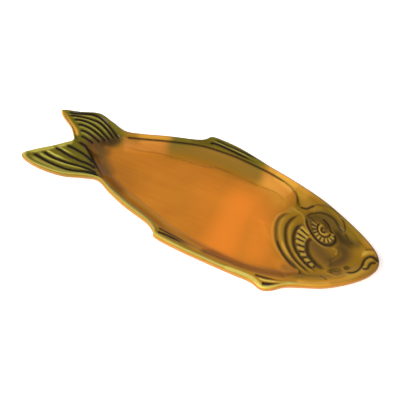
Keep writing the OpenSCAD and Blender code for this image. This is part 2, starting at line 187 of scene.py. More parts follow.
def through(points, count, closed=False):
    """A smooth line through points, count steps to a stretch. From b to c, with a before and
    d after, it is (2b + (c - a) s + (2a - 5b + 4c - d) s^2 + (3b - 3c + d - a) s^3) / 2."""
    points = np.asarray(points, float)
    if closed:
        a, b, c, d = (np.roll(points, k, axis=0) for k in (1, 0, -1, -2))
    else:
        first = 2 * points[0] - points[1]
        last = 2 * points[-1] - points[-2]
        row = np.vstack([first, points, last])
        a, b, c, d = row[:-3], row[1:-2], row[2:-1], row[3:]
    s = (np.arange(count) / count)[None, :, None]
    a, b, c, d = (corner[:, None, :] for corner in (a, b, c, d))
    line = (2 * b + (c - a) * s + (2 * a - 5 * b + 4 * c - d) * s**2
            + (3 * b - 3 * c + d - a) * s**3) / 2
    line = line.reshape(-1, points.shape[1])
    return line if closed else np.vstack([line, points[-1]])


def smooth(share):
    """0 below 0, 1 above 1, and s^2 (3 - 2s) between."""
    s = np.clip(share, 0, 1)
    return s * s * (3 - 2 * s)


def mixed(a, b, share):
    """a (1 - share) + b share."""
    return a * (1 - share) + b * share


# The outline is fitted to the box of the clay, and the other contours go with it
raw_edge = through(edge_back_shares + edge_belly_shares[-2:0:-1], steps, closed=True)
raw_low = raw_edge.min(axis=0)
raw_high = raw_edge.max(axis=0)
clay_low, clay_high = (np.array(corner)[:2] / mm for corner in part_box("clay_body"))
share_mm = (clay_high - clay_low) / (raw_high - raw_low)
shift_mm = clay_low - raw_low * share_mm
edge = raw_edge * share_mm + shift_mm
rim = through(rim_back_shares + rim_belly_shares[-2:0:-1], steps, closed=True)
rim = rim * share_mm + shift_mm
around = len(edge)

# A station is a place along the outline, counted in listed points from the snout
station = np.minimum(np.arange(around), around - np.arange(around)) / steps
tail_station = len(edge_back_shares) - 1 - len(tail_back_shares)
tail_first = tail_station * steps
tail_last = around - tail_first
tail_columns = np.arange(tail_first, tail_last + 1)
head_columns = np.arange(-len(gill_belly_shares) * steps, len(gill_back_shares) * steps + 1)
tail_line = through(
    [rim_back_shares[tail_station]] + tail_back_shares + tail_belly_shares[-2::-1]
    + [rim_belly_shares[tail_station]], steps) * share_mm + shift_mm
gill_line = through(
    [rim_belly_shares[len(gill_belly_shares)]] + gill_belly_shares[::-1] + gill_back_shares[1:]
    + [rim_back_shares[len(gill_back_shares)]], steps) * share_mm + shift_mm
bowl = rim.copy()
bowl[tail_columns] = tail_line
well_edge = bowl.copy()
well_edge[head_columns] = gill_line
spine_x = np.array(spine_x_shares)
spine_way = (spine_x[0] - spine_x) / (spine_x[0] - spine_x[-1])
spine_y = mixed(spine_head_share, spine_tail_share, spine_way)
half_spine = through(np.column_stack([spine_x, spine_y]), steps)
spine = np.vstack([half_spine, half_spine[-2:0:-1]]) * share_mm + shift_mm

rim_run = np.linalg.norm(edge - rim, axis=1)
outward = (edge - rim) / rim_run[:, None]
from_head_end = np.minimum(head_columns - head_columns[0], head_columns[-1] - head_columns) / steps
from_tail_root = np.minimum(tail_columns - tail_first, tail_last - tail_columns) / steps

# The well's edge sinks over one station from each side of the tail, and at the gill over three,
# which start one station in from its ends
edge_drop = np.full(around, float(rim_drop))
edge_drop[tail_columns] = mixed(rim_drop, tail_drop, smooth(from_tail_root))
edge_drop[head_columns] = mixed(rim_drop, gill_drop, smooth((from_head_end - 1) / 3))

# The share of the corner below the gill at each point there, from 0 at its ends to 1
corner = slice(around - corner_stations * steps, around)
corner_fade = smooth((corner_end_station - station[corner]) / corner_fade_stations)
corner_share = smooth(station[corner]) * corner_fade


def rolled(round_count, flat_count, sunk):
    """The plan of the lip's rings, the quarter turn t that the first make and the way s that
    the others go in to the rim's groove. On the turn a ring lies run - (run - sunk) cos t
    inside the clay's edge, and the glaze stands out from it, thinning to nothing at the crown."""
    turn = np.linspace(0, math.pi / 2, round_count)[:, None] + np.zeros((1, around))
    way = (np.arange(1, flat_count + 1) / flat_count)[:, None]
    inward = np.vstack([
        crown_run - (crown_run - sunk) * np.cos(turn),
        mixed(crown_run, rim_run, way),
    ])
    out = glaze_t * np.clip(1 - inward / crown_run, 0, 1)
    return edge + outward * (out - inward)[..., None], turn, way


def lip_rings(round_count, flat_count, sunk=0.0):
    """Rings from the outermost line to the rim's groove: first a quarter round, then a fall
    of 1 - (1 - s)^2. A sunk copy lies that far inside the first."""
    plan, turn, way = rolled(round_count, flat_count, sunk)
    drop = np.vstack([
        lip_half_t - (lip_half_t - sunk) * np.sin(turn),
        sunk + rim_drop * (1 - (1 - way) ** 2) + np.zeros((1, around)),
    ])
    return np.dstack([plan, crest - drop])


def well_rings(wall_count, floor_count, sunk=0.0):
    """Rings from the well's edge to the middle line: the wall falls as 1 - (1 - s)^power over
    its run, and the floor dips a little further towards the middle. In the corner below the
    gill the rings slant, so there the fall goes by the distance to the edge instead."""
    run = np.linalg.norm(spine - well_edge, axis=1)
    wall_share = np.minimum(wall_run / run, wall_most_share)
    wall_way = np.linspace(0, 1, wall_count)[:, None]
    floor_way = (np.arange(1, floor_count + 1) / floor_count)[:, None]
    way = np.vstack([wall_share * wall_way, mixed(wall_share, 1, floor_way)])
    dip = np.vstack([0 * wall_way, middle_dip * floor_way])
    drop = np.vstack([
        mixed(edge_drop, well_drop, 1 - (1 - wall_way) ** wall_power),
        well_drop + np.zeros((floor_count, around)),
    ])
    plan = mixed(well_edge, spine, way[..., None])
    for row, places in zip(drop, plan[:, corner]):
        gap = np.linalg.norm(places[:, None] - well_edge[None, corner], axis=2)
        fall = 1 - (1 - np.minimum(gap.min(axis=1) / wall_run, 1)) ** wall_power
        evened = mixed(edge_drop[corner][gap.argmin(axis=1)], well_drop, fall)
        row[corner] = mixed(row[corner], evened, corner_share)
    return np.dstack([plan, crest - drop - dip - sunk])


def tail_rings(ring_count, sunk=0.0):
    """Rings from the rim's groove to the tail's line. Where the lobes spread they are bowed
    sideways by a share of their length, which rises and falls as 4 s (1 - s)."""
    way = np.linspace(0, 1, ring_count)[:, None]
    run = np.linalg.norm(rim[tail_columns] - bowl[tail_columns], axis=1)
    side = (rim[tail_columns, 1] - spine[around // 2, 1]) / share_mm[1] * 2
    bow = tail_bow_share * smooth((from_tail_root - 2) / 3) * run * side * 4 * way * (1 - way)
    plan = mixed(rim[tail_columns], bowl[tail_columns], way[..., None])
    plan[..., 1] += bow
    drop = mixed(rim_drop, edge_drop[tail_columns], way)
    return np.dstack([plan, crest - drop - sunk])


def head_rings(ring_count, sunk=0.0):
    """Rings from the rim's groove to the gill line: the cheek falls smoothly over its run,
    and the last quarter of the way runs out to the well's edge."""
    way = np.linspace(0, 1, ring_count)[:, None]
    run = np.linalg.norm(rim[head_columns] - well_edge[head_columns], axis=1)
    cheek = mixed(rim_drop, cheek_drop, smooth(way * run / cheek_run))
    drop = mixed(cheek, edge_drop[head_columns], smooth(4 * way - 3))
    plan = mixed(rim[head_columns], well_edge[head_columns], way[..., None])
    return np.dstack([plan, crest - drop - sunk])


def under_lip_rings(round_count, flat_count, sunk=0.0):
    """Rings from the outermost line, round under the lip and in to below the rim's groove."""
    plan, turn, way = rolled(round_count, flat_count, sunk)
    drop = np.vstack([
        lip_half_t + (lip_half_t - sunk) * np.sin(turn),
        mixed(2 * lip_half_t, rim_drop + under_t, smooth(way)) - sunk + np.zeros((1, around)),
    ])
    return np.dstack([plan, crest - drop])


def under_tail_rings(ring_count, sunk=0.0):
    """The tail's rings moved down by the thickness of glazed clay."""
    top = tail_rings(ring_count)
    way = np.linspace(0, 1, ring_count)[:, None]
    low = mixed(rim_drop, edge_drop[tail_columns], way) + under_t
    return np.dstack([top[..., :2], crest - low + sunk])


def under_bowl_rings(ring_count, sunk=0.0):
    """Rings down the outside of the bowl to the outer edge of the foot."""
    way = np.linspace(0, 1, ring_count)[:, None]
    bowl_drop = np.where(np.isin(np.arange(around), tail_columns), edge_drop, rim_drop)
    high = crest - bowl_drop - under_t + sunk
    low = foot_top - glaze_t if sunk == 0 else foot_top
    plan = mixed(bowl, foot_line, way[..., None])
    return np.dstack([plan, mixed(high, low, way)])


def flat_rings(outer, inner, ring_count, height):
    """Level rings between two contours."""
    way = np.linspace(0, 1, ring_count)[:, None, None]
    plan = mixed(outer, inner, way)
    return np.dstack([plan, np.full(plan.shape[:2], height)])


# The foot stands a share of the way in from the bowl's edge to the spine, less by the tail
foot_w = 6.5
foot_body_share = 0.24
foot_tail_share = 0.1
foot_body_station = 13
foot_way = smooth((station - foot_body_station) / (tail_station - foot_body_station))
foot_share = mixed(foot_body_share, foot_tail_share, foot_way)
foot_line = mixed(bowl, spine, foot_share[:, None])
foot_inward = (spine - bowl) / np.linalg.norm(spine - bowl, axis=1)[:, None]
foot_inner_line = foot_line + foot_w * foot_inward


sharp_angle = math.radians(50)


def merged(name, grids, marks):
    """A closed mesh from grids of points, each given as (points, wraps around). A face of the
    grid is cut along the diagonal that doesn't fold it, and points less than about 0.0001 mm
    apart are joined. The marks are point values, one array for each grid."""
    points = np.vstack([grid.reshape(-1, 3) for grid, _ in grids])
    faces = []
    first = 0
    for grid, wraps in grids:
        rows, columns = grid.shape[:2]
        index = first + np.arange(rows * columns).reshape(rows, columns)
        first += rows * columns
        if wraps:
            index = np.hstack([index, index[:, :1]])
        corners = np.stack([index[:-1, :-1], index[:-1, 1:], index[1:, 1:], index[1:, :-1]], axis=-1)
        corners = corners.reshape(-1, 4)
        p, q, r, s = (points[corners[:, k], :2] for k in range(4))
        folds = (np.cross(q - p, r - p) * np.cross(r - p, s - p) < 0)[:, None]
        faces.append(np.where(folds, corners[:, [0, 1, 3]], corners[:, [0, 1, 2]]))
        faces.append(np.where(folds, corners[:, [1, 2, 3]], corners[:, [0, 2, 3]]))
    faces = np.vstack(faces)
    _, kept, joined = np.unique(np.round(points * 1e4).astype(np.int64), axis=0,
                                return_index=True, return_inverse=True)
    faces = joined.reshape(-1)[faces]
    whole = (faces[:, 0] != faces[:, 1]) & (faces[:, 1] != faces[:, 2]) & (faces[:, 2] != faces[:, 0])
    mesh = bpy.data.meshes.new(name)
    mesh.from_pydata(points[kept] * mm, [], faces[whole])
    for mark, arrays in marks.items():
        values = np.concatenate([np.asarray(array, float).reshape(-1) for array in arrays])[kept]
        mesh.attributes.new(mark, "FLOAT", "POINT").data.foreach_set("value", values)
    work = bmesh.new()
    work.from_mesh(mesh)
    bmesh.ops.recalc_face_normals(work, faces=work.faces)
    work.to_mesh(mesh)
    work.free()
    mesh.shade_smooth()
    mesh.set_sharp_from_angle(angle=sharp_angle)
    piece = bpy.data.objects.new(name, mesh)
    bpy.context.scene.collection.objects.link(piece)
    return piece


def coat(name, top, inner, wraps, marks, has_last_wall=True):
    """A skin of glaze: its top with the marks, its coarser inner side, and walls along the
    first ring and, where wanted, the last."""
    grids = [(top, wraps), (inner, wraps), (np.stack([top[0], inner[0]]), wraps)]
    if has_last_wall:
        grids.append((np.stack([top[-1], inner[-1]]), wraps))
    blanks = [np.zeros(grid.shape[:2]) for grid, _ in grids[1:]]
    return merged(name, grids, {mark: [values] + blanks for mark, values in marks.items()})


class Wire:
    """A socket of a material. Sums and products of wires and numbers add Math nodes, so
    1 - wire * 2 is written as it reads."""

    def __init__(self, tree, socket):
        self.tree = tree
        self.socket = socket

    def _math(self, operation, *inputs):
        node = self.tree.nodes.new("ShaderNodeMath")
        node.operation = operation
        for socket, value in zip(node.inputs, inputs):
            if isinstance(value, Wire):
                self.tree.links.new(value.socket, socket)
            else:
                socket.default_value = value
        return Wire(self.tree, node.outputs[0])

    def __add__(self, other):
        return self._math("ADD", self, other)

    def __sub__(self, other):
        return self._math("SUBTRACT", self, other)

    def __rsub__(self, other):
        return self._math("SUBTRACT", other, self)

    def __mul__(self, other):
        return self._math("MULTIPLY", self, other)

    __radd__ = __add__
    __rmul__ = __mul__

    def within(self):
        """The value, held between 0 and 1."""
        return self._math("MAXIMUM", self._math("MINIMUM", self, 1.0), 0.0)


class Finish:
    """One material, built node by node around its own shader."""

    def __init__(self, name, **uniform):
        self.material = bpy.data.materials.new(name)
        self.material.use_nodes = True
        self.tree = self.material.node_tree
        self.shader = self.tree.nodes["Principled BSDF"]
        for socket, value in uniform.items():
            self.shader.inputs[socket.replace("_", " ")].default_value = value
        self.place = self.node("ShaderNodeTexCoord", {}, {}, "Object")

    def node(self, kind, settings, sockets, output=0):
        """Any other node: settings first, then values or wires for its sockets."""
        node = self.tree.nodes.new(kind)
        for name, value in settings.items():
            setattr(node, name, value)
        for name, value in sockets.items():
            self.feed(node.inputs[name], value)
        return Wire(self.tree, node.outputs[output])

    def feed(self, socket, value):
        """Links a wire to a socket, or sets its value."""
        if isinstance(value, Wire):
            self.tree.links.new(value.socket, socket)
        else:
            socket.default_value = value

    def mark(self, name):
        """One of the marks that the mesh carries at its points."""
        return self.node("ShaderNodeAttribute", {"attribute_name": name}, {}, "Fac")

    def noise(self, size_mm, detail=3.0, stretch=(1, 1, 1)):
        """Noise from 0 to 1 whose patches are about size_mm wide."""
        place = self.node("ShaderNodeMapping", {}, {"Vector": self.place, "Scale": stretch})
        sockets = {"Vector": place, "Scale": 1 / (size_mm * mm), "Detail": detail}
        return self.node("ShaderNodeTexNoise", {}, sockets, "Fac")

    def blend(self, first, second, share):
        """A colour between two colours."""
        return self.node("ShaderNodeMix", {"data_type": "RGBA"},
                         {0: share, 6: first, 7: second}, 2)

    def bumped(self, height, distance_mm):
        """Tilts the surface's light as if it rose by height times a distance."""
        normal = self.node("ShaderNodeBump", {},
                           {"Height": height, "Distance": distance_mm * mm}, "Normal")
        self.feed(self.shader.inputs["Normal"], normal)


def paint(red, green, blue):
    """The linear colour of an 8-bit display colour: ((c / 255 + 0.055) / 1.055)^2.4."""
    return tuple(((c / 255 + 0.055) / 1.055) ** 2.4 for c in (red, green, blue)) + (1.0,)


def dressed(piece, finish, slot, *nodes):
    """Gives a piece its material and sets it in the model in place of its nodes."""
    piece.data.materials.append(finish.material)
    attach(piece, "root")
    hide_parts(*nodes)


sparse = slice(None, None, 3)
clay = merged("clay", [
    (lip_rings(4, 3, coat_t)[:, sparse], True),
    (well_rings(6, 4, coat_t)[:, sparse], True),
    (tail_rings(6, coat_t)[:, sparse], False),
    (head_rings(12, coat_t)[:, sparse], False),
    (under_lip_rings(4, 3, coat_t)[:, sparse], True),
    (under_tail_rings(6, coat_t)[:, sparse], False),
    (under_bowl_rings(4, coat_t)[:, sparse], True),
    (flat_rings(foot_line, foot_inner_line, 2, foot_top)[:, sparse], True),
    (flat_rings(foot_inner_line, spine, 4, foot_top)[:, sparse], True),
], {})
biscuit = Finish("fired clay", Roughness=0.85)
biscuit_grain = biscuit.noise(size_mm=1.5, detail=4)
biscuit.feed(biscuit.shader.inputs["Base Color"],
             biscuit.blend(paint(222, 202, 172), paint(198, 172, 138), biscuit_grain))
dressed(clay, biscuit, "fired_clay", "clay_body")


# The foot ring
# The same clay. Brown glaze has run down its sides, but its underface was wiped clean before
# the firing so that the platter doesn't stick to the kiln's shelf: matt, sandy and rounded.
foot_round = 1.1
foot_turn = np.linspace(0, math.pi / 2, 6)
foot_side = [(0, foot_top), (0, (foot_top + foot_round) / 2)]
foot_side += [(foot_round * (1 - math.cos(a)), foot_round * (1 - math.sin(a))) for a in foot_turn]
foot_profile = foot_side + [(foot_w - inward, height) for inward, height in foot_side[::-1]]
foot_grid = np.stack([
    np.column_stack([foot_line + inward * foot_inward, np.full(around, height)])
    for inward, height in foot_profile + foot_profile[:1]])
foot_run = smooth((foot_grid[..., 2] - 0.7 * foot_round) / foot_round)
foot = merged("foot", [(foot_grid[:, ::2], True)], {"run": [foot_run[:, ::2]]})
bare = Finish("bare foot clay")
bare_grain = bare.noise(size_mm=0.6, detail=2)
bare_stain = bare.noise(size_mm=24, detail=4)
bare_colour = bare.blend(paint(205, 182, 148), paint(171, 143, 106), bare_stain)
bare_colour = bare.blend(bare_colour, paint(140, 124, 104), (bare_grain * 2 - 1.1).within())
bare_run = (bare.mark("run") * 1.6 + bare_stain * 0.8 - 0.8).within()
bare_brown = bare.blend(paint(122, 60, 16), paint(90, 42, 12), bare_stain)
bare.feed(bare.shader.inputs["Base Color"], bare.blend(bare_colour, bare_brown, bare_run))
bare.feed(bare.shader.inputs["Roughness"], 0.8 - bare_run * 0.62)
bare.bumped(bare_grain, 0.12)
dressed(foot, bare, "bare_foot_clay", "foot_ring")


# The glazes of the upper face
# Honey glaze was poured over the whole fish, then copper green and iron brown were brushed on.
# They ran together in the moulded grooves, which divide the coats, and broke to gold on ridges.

# Points all over the upper face, and where the camera sees them
ground = np.vstack([grid[::2, ::3].reshape(-1, 3) for grid in (
    lip_rings(6, 12), well_rings(18, 24), tail_rings(60), head_rings(90))])
ground_pixels = pixels_of(ground)
near_count = 4
line_steps = 8


def traced(*pixels):
    """The plan line seen under a row of pixels. Each ray is cut at the mean height of the four
    points of the ground seen nearest to its pixel, weighted by 1 / (gap^2 + 0.01), and a
    smooth line joins the cuts."""
    pixels = np.array(pixels, float)
    gap = ((ground_pixels[None] - pixels[:, None]) ** 2).sum(axis=2)
    near = np.argpartition(gap, near_count, axis=1)[:, :near_count]
    weight = 1 / (np.take_along_axis(gap, near, axis=1) + 0.01)
    height = (ground[near, 2] * weight).sum(axis=1) / weight.sum(axis=1)
    return through(seen_at(pixels, height), line_steps)


beyond = 1e3


def beside(surface, line, reach):
    """Each surface point's distance to a line, and the share of the line where it is nearest.
    On a stretch from a to b that is at t = (p - a).(b - a) / |b - a|^2 within 0 and 1. Points
    out of reach are given as far beyond."""
    plan = surface[..., :2].reshape(-1, 2)
    far = np.full(len(plan), beyond)
    share = np.zeros(len(plan))
    near = np.all((plan > line.min(axis=0) - reach) & (plan < line.max(axis=0) + reach), axis=1)
    points = plan[near]
    best = np.full(len(points), beyond)
    where = np.zeros(len(points))
    lengths = np.linalg.norm(np.diff(line, axis=0), axis=1)
    starts = np.concatenate([[0], np.cumsum(lengths)])
    for k, length in enumerate(lengths):
        stretch = line[k + 1] - line[k]
        t = np.clip((points - line[k]) @ stretch / max(length, 1e-6) ** 2, 0, 1)
        gap = np.linalg.norm(points - line[k] - t[:, None] * stretch, axis=1)
        closer = gap < best
        best[closer] = gap[closer]
        where[closer] = (starts[k] + t[closer] * length) / starts[-1]
    far[near] = best
    share[near] = where
    return far.reshape(surface.shape[:2]), share.reshape(surface.shape[:2])


end_width_share = 0.4
end_depth_share = 0.2


def stroke(surface, line, width, taper=(0.12, 0.12), power=2):
    """exp(-(distance / width)^power), which narrows and fades over the first and last shares
    of the line that the taper gives."""
    far, share = beside(surface, line, 3 * width)
    full = smooth(share / taper[0]) * smooth((1 - share) / taper[1]) if taper else 1.0
    width = width * (end_width_share + (1 - end_width_share) * full)
    return np.exp(-(far / width) ** power) * (end_depth_share + (1 - end_depth_share) * full)


colour_spread = 1.35
wash_power = 2.4


def worked(surface, strokes):
    """Relief and marks of strokes (line, width, rise, marks, and a taper where one is given).
    Where strokes meet, the highest, the deepest and the strongest count. Colour spreads a
    little wider than the relief."""
    high = np.zeros(surface.shape[:2])
    low = np.zeros(surface.shape[:2])
    marks = {}
    for line, width, rise, strengths, *taper in strokes:
        profile = stroke(surface, line, width, *taper)
        high = np.maximum(high, rise * profile)
        low = np.minimum(low, rise * profile)
        for mark, strength in strengths.items():
            spread = strength * np.minimum(colour_spread * profile, 1)
            marks[mark] = np.maximum(marks.get(mark, 0), spread)
    return high + low, marks


def washed(surface, rows):
    """The strength of broad washes (line, width, strength), each with a flat middle."""
    share = np.zeros(surface.shape[:2])
    for line, width, strength in rows:
        share = np.maximum(share, strength * stroke(surface, line, width, None, wash_power))
    return share


# Each side's groove runs from near the gill to the tail's root, by every sixth point of the rim
groove_skip = 6
back_groove = rim[7 * steps:tail_first:groove_skip]
belly_groove = rim[tail_last:around - 5 * steps:groove_skip]
groove_strokes = [
    (back_groove, 1.3, -0.8, {"ink": 0.9}, (0.12, 0.02)),
    (belly_groove, 1.1, -0.8, {"ink": 0.25}, (0.02, 0.12)),
    (traced((284, 181.4), (291.8, 187.8), (296.3, 194.2), (297.6, 204.4)), 1.1, -0.5, {"ink": 0.6}),
    (traced((122, 146), (140, 150.6), (166, 155), (200, 165.5), (220, 168.7), (242, 178.9),
            (276.5, 192.9), (288, 204.4)), 0.8, -0.15, {"ink": 0.3}),
]
fin_strokes = [
    # The back fin's grooves and the ridge between them
    (traced((213.5, 139.4), (220, 141.9), (227, 145.2), (235, 148.5), (243, 152.3), (250, 155.8),
            (257, 159.4), (263, 163)), 1.3, -0.6, {"ink": 0.9}, (0.1, 0.3)),
    (traced((214, 141.2), (221, 144), (228, 147.2), (236, 150.6), (244, 154.5), (251, 158)),
     0.9, 0.3, {"pale": 0.5}, (0.1, 0.3)),
    (traced((209.3, 142.9), (216, 143.7), (223, 146.5), (230, 149.7), (237, 153.1), (245, 157.1),
            (252, 160.6), (258, 163.4)), 1.8, -0.9, {"ink": 1}, (0.04, 0.4)),
    # The grooves of the belly fin by the tail
    (traced((158.2, 227), (164.5, 230.8), (178.6, 238.5), (200, 250.5)),
     1.4, -0.7, {"ink": 0.9}, (0.05, 0.6)),
    (traced((156.9, 231.2), (164.5, 234), (178.6, 240.6), (191.3, 247.5)),
     1.7, -0.9, {"ink": 1}, (0.05, 0.6)),
    # The belly fin by the gill: its grooves, the ridge between them and the bright edge, whose bright
    # yellow is painted highlight
    (traced((254.6, 274.3), (260, 276.2), (268, 278.2), (276, 279.8), (285, 281.2)),
     1.5, -0.6, {"ink": 0.9}, (0.04, 0.7)),
    (traced((257.5, 277.6), (264, 280.2), (272, 281.3), (282, 282)),
     1.0, 0.3, {"lemon": 0.75}, (0.15, 0.5)),
    (traced((261.6, 283.2), (268, 283.7), (276, 283.7), (286, 283.2)),
     2.6, -1.0, {"ink": 1}, (0.03, 0.95)),
    (traced((218, 264.4), (230, 268.6), (238, 271.6), (246, 274.7), (252, 277.8), (256.5, 281.8),
            (260.5, 286.4), (266, 288.2), (275, 287.4)), 2.4, 0, {"lemon": 1}, (0.2, 0.3)),
]
back_lobe_grooves = [
    traced((67, 112.2), (72, 112.8), (78, 113.3), (85, 113.7), (92, 114.3), (98, 116.2),
           (103, 119.6), (108, 124.8), (113, 130.8), (118, 136.8), (122, 140.5)),
    traced((68.3, 115), (75.6, 115.5), (83, 116.9), (90.8, 118.9), (98, 121.6), (103.5, 125.6),
           (108.5, 131), (113, 137), (117, 141.5)),
    traced((72.6, 119.4), (78.6, 119.4), (85.3, 121), (92.6, 124.2), (98.6, 128.5),
           (104.7, 134.5), (109.5, 139.5), (112.5, 143.5)),
    traced((76.8, 124.2), (82.3, 124.6), (89.5, 127.7), (95.6, 131.8), (102.3, 137.5), (107, 143.5)),
    traced((79.8, 129.8), (85.3, 131.2), (91.4, 134.9), (97, 139.6), (101, 144)),
    traced((81, 135.6), (84.7, 137.2), (90, 140.6), (94, 144.5)),
]
belly_lobe_grooves = [
    traced((66, 144.4), (70, 146), (75, 148.5), (80, 151.4), (85, 154.6), (89, 158), (93.5, 162.6)),
    traced((53.8, 146.4), (60, 149.3), (65, 152.6), (70, 155.7), (75, 158), (80, 160.4),
           (85, 162.2), (90, 164.5), (96, 168.5)),
    traced((41.5, 150.2), (45, 152), (50, 155.3), (55, 157.9), (60, 159.7), (65, 161.5),
           (70, 163.2), (75, 164.5), (80, 165.9), (85, 167.5), (90, 169.5), (97, 173.6)),
    traced((31.4, 151.6), (35, 153.7), (40, 156.7), (45, 159.6), (50, 162.1), (55, 164.4),
           (60, 166.4), (65, 168.3), (70, 169.5), (75, 170.3), (80, 170.8), (85, 171.2),
           (90, 172), (95, 174), (99, 176)),
]
tail_seam = traced((76.2, 141.4), (81, 143), (85.7, 146.3), (88.8, 151), (91.6, 156.5),
                   (95, 163), (99.2, 170), (104.7, 178))
tail_strokes = [(line, 1.75, -1.3, {"ink": 1}, (0.08, 0.12)) for line in back_lobe_grooves]
tail_strokes += [(line, 2.15, -1.5, {"ink": 1}, (0.08, 0.05)) for line in belly_lobe_grooves]
tail_strokes += [(tail_seam, 2.4, -1.0, {"ink": 1}, (0.1, 0.4))]


def between(first, second, share, count=20):
    """The line that far from one line to the next, both cut into equal numbers of steps."""
    halves = []
    for line in (first, second):
        run = np.concatenate([[0], np.cumsum(np.linalg.norm(np.diff(line, axis=0), axis=1))])
        way = np.linspace(0, run[-1], count)
        halves.append(np.column_stack([np.interp(way, run, line[:, k]) for k in (0, 1)]))
    return mixed(halves[0], halves[1], share)


# Light lines on the back lobe's ridges: thin glaze and painted highlight on the flanks
tail_strokes += [(between(*pair, 0.45), 1.2, 0.5, {"pale": 0.3}, (0.1, 0.5))
                 for pair in zip(back_lobe_grooves, back_lobe_grooves[1:])]
tail_strokes += [
    # The belly lobe's light ridges and margin, partly thin glaze and partly painted highlight
    (traced((38, 151.5), (43, 154.9), (48, 157.5), (54, 159.9), (60, 162.3), (66, 164.2),
            (72, 165.7), (80, 167.5), (88, 169.6), (95, 172.4)), 1.6, 0.6, {"pale": 0.5}, (0.1, 0.3)),
    (traced((46, 149.9), (50, 151.9), (55, 154.7), (60, 156.9), (65, 159.2), (71, 161.3)),
     1.3, 0.6, {"pale": 0.8}, (0.1, 0.6)),
    (traced((57.5, 145.8), (62, 148.4), (66, 150.7), (70, 152.8), (76, 156)),
     1.2, 0.6, {"pale": 0.7}, (0.1, 0.7)),
    (traced((30, 155.3), (40, 160.6), (48.9, 164.6), (56, 167.8), (66, 171), (78, 172.8),
            (92, 175)), 2.4, 0.3, {"pale": 0.35}),
    (traced((27, 151.6), (38, 149.8), (50, 147.2), (60, 145), (69, 142.6), (75, 139.6)),
     2.2, 0, {"pale": 0.6}, (0.1, 0.1)),
]
gills = [
    traced((292, 213), (285.5, 213.9), (280.8, 216.7), (278, 220.7), (276.5, 226), (276.2, 232),
           (276.7, 238), (278.2, 244), (280.7, 249.6), (284.3, 255.4), (288.6, 260.8),
           (293.2, 265.4), (298.4, 269.4), (304, 272.9)),
    traced((301, 214.6), (296.4, 216), (292, 218.6), (288.5, 222.4), (286.3, 227), (285.6, 232),
           (285.8, 237.4), (286.8, 243.4), (289.1, 249.6), (292.4, 255.6), (296.4, 260.8),
           (301, 265.5), (305.8, 269.7), (310.6, 273.4)),
]
gill_folds = [
    traced((286, 211.2), (279.5, 214.2), (275.3, 219.2), (273, 226), (272.6, 233), (273.6, 240),
           (275.8, 246.5), (279.4, 252.5), (283.6, 258), (288, 263)),
    traced((290, 216.3), (284, 218.8), (280.8, 225), (280.4, 232), (281.6, 240), (284, 247),
           (287.8, 253.4), (292.2, 259), (296.8, 264), (301.4, 268), (306, 271.5)),
    traced((296.5, 220.5), (291.8, 225), (289.9, 231), (289.9, 238), (291.3, 245), (294.4, 251.6),
           (298.7, 258), (303.6, 263.4), (308.8, 268), (313, 271.4)),
]
crescent = [
    traced((303, 224.4), (299, 225.6), (295.9, 229.2), (294.1, 234), (293.6, 240), (294.4, 246),
           (297, 252), (301, 258), (305.5, 263.2), (310.4, 267.5), (315, 270.8)),
    traced((311.6, 238.2), (308.2, 241), (307.3, 246), (307.7, 251), (309.8, 256.2), (313.4, 260.8),
           (317.6, 264.8), (322, 267.8), (327, 270)),
]
raker_gaps = [traced(*pair) for pair in (
    ((300.8, 228.8), (308.8, 236)), ((297.8, 232.9), (306, 238.6)),
    ((296.7, 237.9), (304.9, 242)), ((296.7, 244.2), (305.4, 247.2)),
    ((298.4, 250.9), (304.9, 252)), ((302.1, 257), (307.1, 257)),
    ((307.1, 262.9), (310.8, 261.4)), ((312.9, 267.4), (315.1, 265.9)))]
rakers = [traced(*pair) for pair in (
    ((301.2, 226.4), (309.5, 234)), ((297.6, 229.9), (308.6, 238.2)),
    ((296, 235), (306.2, 241.2)), ((295.6, 240.6), (305, 244.5)),
    ((296.6, 246.8), (304.6, 249.8)), ((300, 254), (306.6, 254.8)),
    ((304.2, 259.8), (310.6, 260.4)), ((309.4, 265), (313.4, 264.2)))]
socket = [
    traced((307.3, 216), (306.6, 220.4), (307.8, 225.4), (310.3, 230.6), (313.9, 236),
           (318.2, 240.6), (322.6, 243.8), (326.9, 245), (331.2, 244.8), (334.6, 242.4),
           (335.8, 238.6), (334.6, 235), (332, 231.5)),
    traced((306.5, 216.8), (308.6, 214.9), (312, 213.4), (317, 212.8), (322, 213), (327, 214.3),
           (331.8, 217), (335.3, 220.3), (337.8, 224.4), (340, 228.2), (344.5, 233)),
    traced((307.2, 216.3), (311.6, 218.2), (315.3, 221.9), (318.3, 224.8)),
]
eye_rings = [
    traced((324.2, 227.6), (322, 228.4), (321.8, 231), (324, 232.2), (326.2, 231.2)),
    traced((322, 222.8), (318.7, 224.6), (317.4, 228.8), (319.4, 233.6), (324, 236.8),
           (329, 236), (331.2, 232.4)),
    traced((321.9, 218.5), (325.5, 221.3), (328.6, 224.9), (329.9, 228.5), (331.2, 231.4),
           (334.6, 234.4)),
]
eyelid = traced((317.5, 220.8), (321, 221.4), (324.4, 224), (327, 227.4))
eye_shade = traced((323, 222.5), (326.2, 225.3), (327.8, 229.2))
pupil = traced((323.6, 229.6), (324.8, 230))
iris = traced((323.2, 224.6), (320.2, 226.4), (319.6, 230), (321.6, 233.4), (325.6, 234.6),
              (329, 232.8))
ribs = [traced(*pair) for pair in (
    ((312.2, 221.8), (317, 225)), ((311.8, 226.2), (316.6, 227.8)),
    ((313.4, 231), (317.2, 230.6)), ((315, 235.2), (318.8, 233)),
    ((317.4, 238.4), (320.4, 235.4)), ((321.6, 241.4), (322.8, 237.6)),
    ((326.6, 243), (326.2, 238.4)), ((331, 242), (328.8, 238)),
    ((333.8, 239.2), (330.8, 236.4)), ((334.4, 235.6), (332, 234.2)))]
